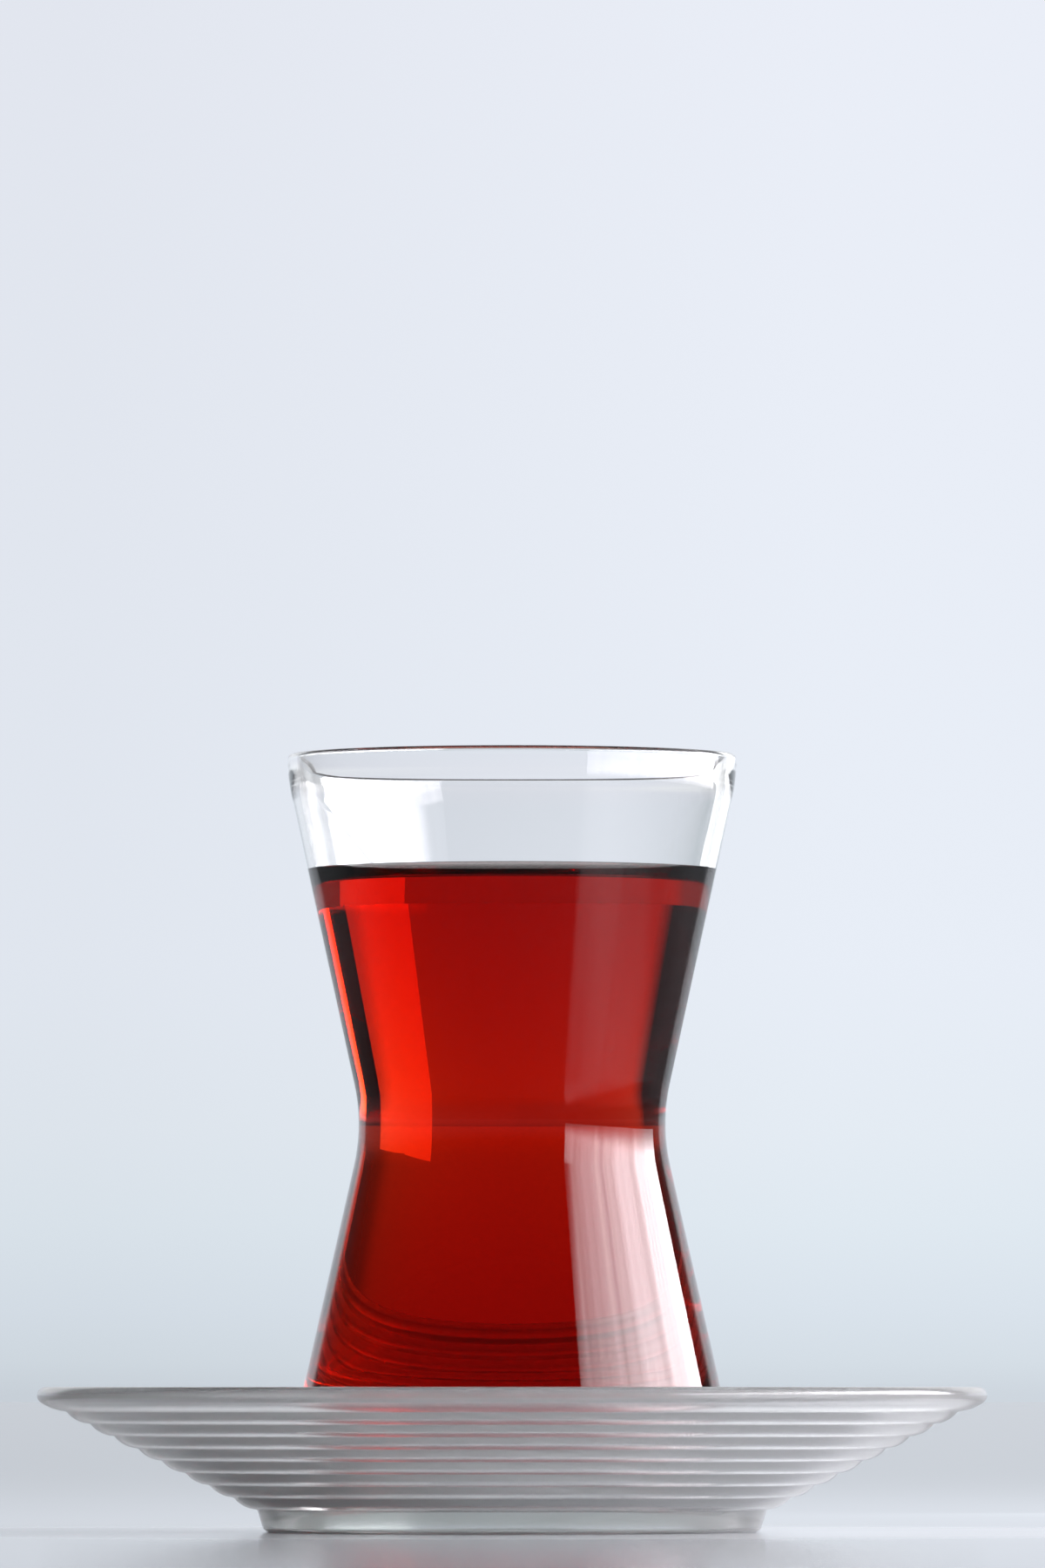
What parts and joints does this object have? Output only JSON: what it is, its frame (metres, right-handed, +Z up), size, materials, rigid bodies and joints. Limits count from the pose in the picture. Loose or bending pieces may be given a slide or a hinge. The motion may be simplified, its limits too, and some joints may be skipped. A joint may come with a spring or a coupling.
{
  "type": "glass of tea on a saucer",
  "caption": "Waisted clear glass of black tea filled to below the rim, standing on a wide flared clear saucer with concentric ribs underneath.",
  "frame": {"origin": "centre of the circle on which the saucer's foot stands, at the bottom of the whole", "axes": "+Z up along the common axis of saucer, glass and tea; +Y away from the front view, +X to its right"},
  "size_m": [0.1166, 0.1166, 0.0955],
  "materials": {
    "saucer_glass": "clear pressed glass with a faint cool tint, glossy",
    "clear_glass": "clear thin blown glass, fire-polished rim, glossy",
    "black_tea": "clear deep red brown liquid, still and glossy"
  },
  "bodies": {
    "root": {"saucer": "saucer_glass", "glass": "clear_glass", "tea": "black_tea"}
  },
  "joints": []
}
